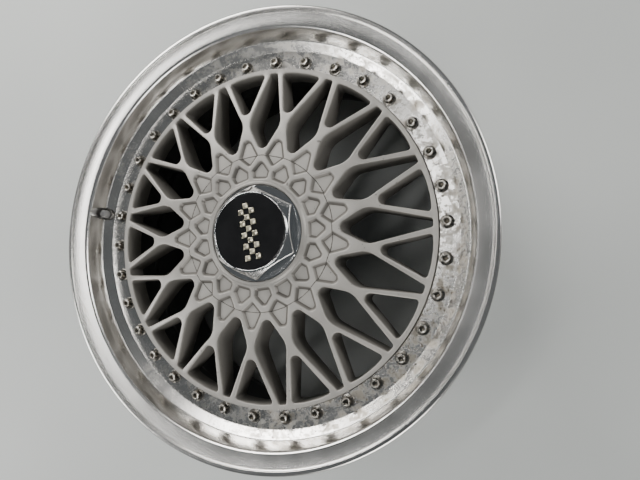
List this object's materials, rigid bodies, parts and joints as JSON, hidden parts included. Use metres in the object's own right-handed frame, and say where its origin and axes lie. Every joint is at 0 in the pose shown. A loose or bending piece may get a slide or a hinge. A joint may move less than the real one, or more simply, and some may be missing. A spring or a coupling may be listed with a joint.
{
  "type": "racing wheel rim",
  "caption": "Three-piece cross-spoke racing wheel rim with a polished lip, bolted mesh centre, removable cover plate, hexagonal middle nut and a clamp-in tyre valve.",
  "frame": {"origin": "centre of the hub mounting face, on the wheel axis", "axes": "+Z along the wheel axis, out of the visible face; the first rim bolt is on +Y and the tyre valve is near -X"},
  "size_m": [0.471, 0.471, 0.2354],
  "materials": {
    "polished_lip": "polished, hazed",
    "barrel_alloy": "cast grey",
    "center_paint": "matt silver",
    "black_sealant": "matt",
    "ring_alloy": "machined",
    "nut_chrome": "mirror",
    "cap_black": "gloss",
    "badge_metal": "satin",
    "bolt_steel": "plated",
    "spring_steel": "plain",
    "black_rubber": "matt",
    "valve_metal": "plated",
    "valve_cap_metal": "satin",
    "core_brass": "machined"
  },
  "bodies": {
    "root": {"outer_lip": "polished_lip", "inner_barrel": "barrel_alloy", "rim_seal": "black_sealant", "wheel_center": "center_paint", "thread_ring": "ring_alloy", "rim_bolts": "bolt_steel", "rim_washers": "bolt_steel", "rim_nuts": "bolt_steel", "valve_stem": "valve_metal", "valve_grommet": "black_rubber", "valve_washer": "valve_metal", "valve_nut": "valve_metal", "valve_core_body": "core_brass", "valve_core_spring": "spring_steel"},
    "cover": {"cover_plate": "center_paint"},
    "nut_glide": {"nut_seal": "black_rubber"},
    "nut": {"center_nut": "nut_chrome", "cap_disc": "cap_black", "cap_clip": "spring_steel", "cap_trim": "nut_chrome", "cap_emblem": "badge_metal"},
    "cap_glide": {"valve_cap_seal": "black_rubber"},
    "air_cap": {"valve_cap": "valve_cap_metal"},
    "air_pin": {"valve_core_pin": "core_brass"}
  },
  "joints": [
    {"name": "cover_lift", "type": "slide", "parent": "root", "child": "cover", "axis": [0, 0, 1], "range_m": [0, 0.06]},
    {"name": "nut_rise", "type": "slide", "parent": "cover", "child": "nut_glide", "axis": [0, 0, 1], "range_m": [0, 0.012]},
    {"name": "nut_turn", "type": "hinge", "parent": "nut_glide", "child": "nut", "pos_m": [0, 0, 0.07], "axis": [0, 0, 1], "range_deg": [0, 2160]},
    {"name": "air_cap_rise", "type": "slide", "parent": "root", "child": "cap_glide", "axis": [0, 0, 1], "range_m": [0, 0.0048]},
    {"name": "air_cap_turn", "type": "hinge", "parent": "cap_glide", "child": "air_cap", "pos_m": [-0.20642, 0.01913, 0.053], "axis": [0, 0, 1], "range_deg": [0, 2160]},
    {"name": "air_pin_press", "type": "slide", "parent": "root", "child": "air_pin", "axis": [0, 0, -1], "range_m": [0, 0.0012], "stiffness_N_per_m": 600, "springref_m": -0.0005}
  ],
  "couplings": [
    {"joint": "nut_rise", "follows": "nut_turn", "m_per_rad": 0.00031831},
    {"joint": "air_cap_turn", "follows": "air_cap_rise", "rad_per_m": 7854}
  ]
}
